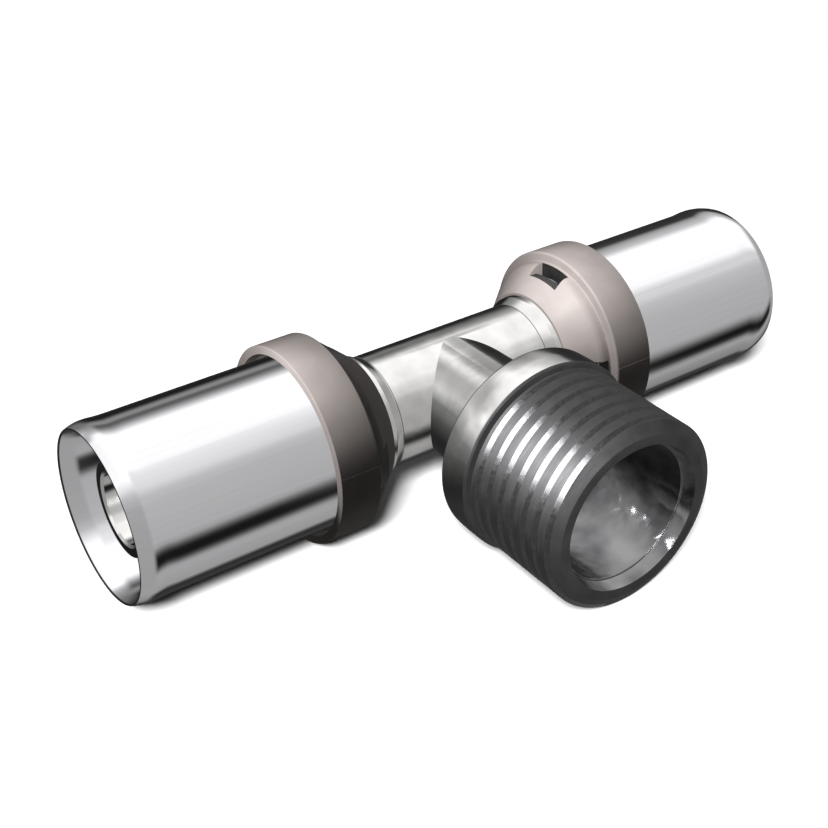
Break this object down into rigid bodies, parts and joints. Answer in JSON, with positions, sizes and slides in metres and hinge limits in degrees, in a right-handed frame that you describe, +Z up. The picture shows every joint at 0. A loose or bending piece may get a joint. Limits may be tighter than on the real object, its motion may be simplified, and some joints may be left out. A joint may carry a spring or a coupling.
{
  "type": "press tee fitting",
  "caption": "Press tee for multilayer pipe: a straight run with a stainless press sleeve at each end and a male threaded branch at right angles.",
  "frame": {"origin": "where the axis of the run meets the axis of the threaded branch", "axes": "+X along the run, the branch points along -Y, +Z up as the fitting lies on a table"},
  "size_m": [0.0848, 0.0425, 0.0222],
  "materials": {
    "plated_brass": "bright nickel plating over brass, darker on the thread",
    "stainless_steel": "polished stainless steel",
    "taupe_plastic": "semi-gloss moulded plastic",
    "seal_rubber": "matt black seal rubber"
  },
  "bodies": {
    "root": {"tee_body": "plated_brass", "press_sleeve_left": "stainless_steel", "press_sleeve_right": "stainless_steel", "retaining_ring_left": "taupe_plastic", "retaining_ring_right": "taupe_plastic", "o_ring_left_inner": "seal_rubber", "o_ring_left_outer": "seal_rubber", "o_ring_right_inner": "seal_rubber", "o_ring_right_outer": "seal_rubber"}
  },
  "joints": []
}
